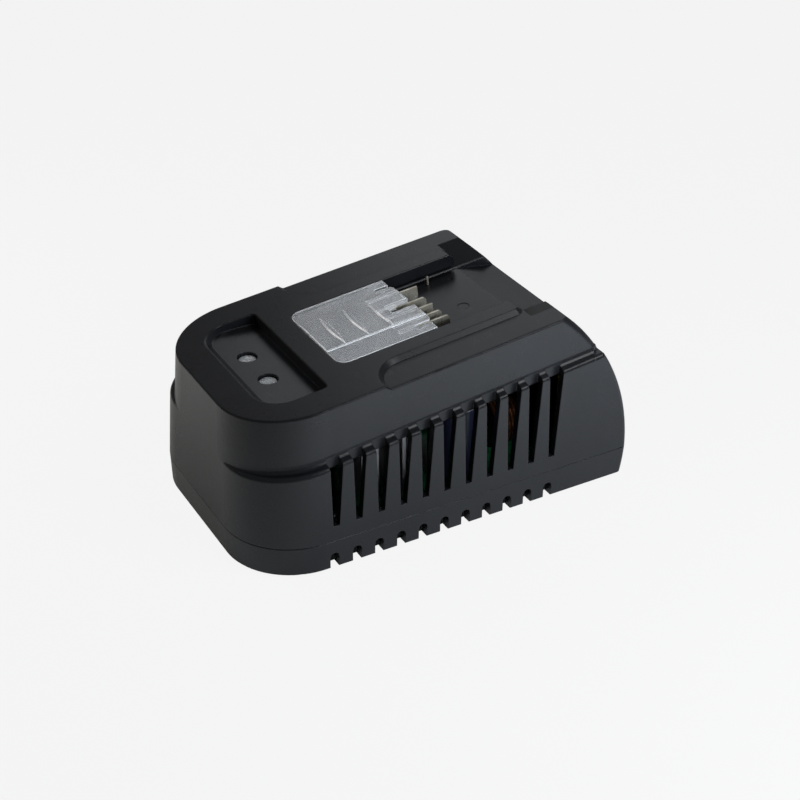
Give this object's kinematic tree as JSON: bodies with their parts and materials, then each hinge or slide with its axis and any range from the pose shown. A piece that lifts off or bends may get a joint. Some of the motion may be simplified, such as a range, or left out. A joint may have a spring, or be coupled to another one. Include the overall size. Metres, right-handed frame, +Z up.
{
  "type": "power tool battery charger",
  "caption": "Wedge-shaped desktop charger for slide-on tool batteries, with vented sides, a rail pocket, a clear sliding terminal cover and an indicator window.",
  "frame": {"origin": "middle of the bounding box's underside, on the surface that the rubber feet stand on", "axes": "+Z up, +X along the length from the flat front with the indicator window to the high far end with the mains inlet, +Y to the side of the far indicator"},
  "size_m": [0.1395, 0.0896, 0.0647],
  "materials": {
    "housing": "fine satin texture, moulded",
    "clear": "clear polycarbonate, polished",
    "lens": "clear, slightly frosted from behind",
    "black_moulding": "smooth, moulded",
    "screw": "zinc plated",
    "contact": "nickel-plated copper alloy, stamped",
    "wire": "insulation, semi-matt",
    "ribbon": "grey flat ribbon",
    "diode": "clear epoxy dome",
    "board": "green solder mask",
    "fuse": "ceramic tube with metal caps",
    "ferrite": "sintered, dull",
    "copper_wire": "enamelled copper",
    "tape": "yellow polyester tape",
    "yellow_box": "moulded box",
    "chip": "moulded epoxy",
    "sleeve": "shrink sleeve over an aluminium can",
    "heat_sink": "extruded, plain",
    "rubber": "matt"
  },
  "bodies": {
    "charger": {"blade_balance": "contact", "blade_identity": "contact", "blade_negative": "contact", "blade_positive": "contact", "blade_thermistor": "contact", "board_screws": "screw", "bridge_rectifier": "chip", "bulk_capacitor": "sleeve", "circuit_board": "board", "controller_chip": "chip", "filter_capacitor": "yellow_box", "housing_screws": "screw", "indicator_board": "board", "indicator_board_screws": "screw", "indicator_diode_far": "diode", "indicator_diode_near": "diode", "indicator_lens_far": "lens", "indicator_lens_near": "lens", "indicator_ribbon": "ribbon", "inlet_pins": "contact", "line_choke_core": "ferrite", "line_choke_windings": "copper_wire", "lower_housing": "housing", "mains_fuse": "fuse", "mains_inlet": "black_moulding", "optocoupler": "chip", "output_capacitors": "sleeve", "output_heat_sink": "heat_sink", "output_leads": "wire", "output_rectifier": "chip", "primary_heat_sink": "heat_sink", "rubber_feet": "rubber", "sensing_lead": "wire", "sensing_pin": "contact", "switching_transistor": "chip", "terminal_block": "black_moulding", "terminal_block_screws": "screw", "transformer_bobbin": "black_moulding", "transformer_core": "ferrite", "transformer_winding": "tape", "upper_housing": "housing"},
    "cover": {"terminal_cover": "clear"}
  },
  "joints": [
    {"name": "cover_slide", "type": "slide", "parent": "charger", "child": "cover", "axis": [0.9935, 0, 0.1143], "range_m": [0, 0.0065]}
  ]
}
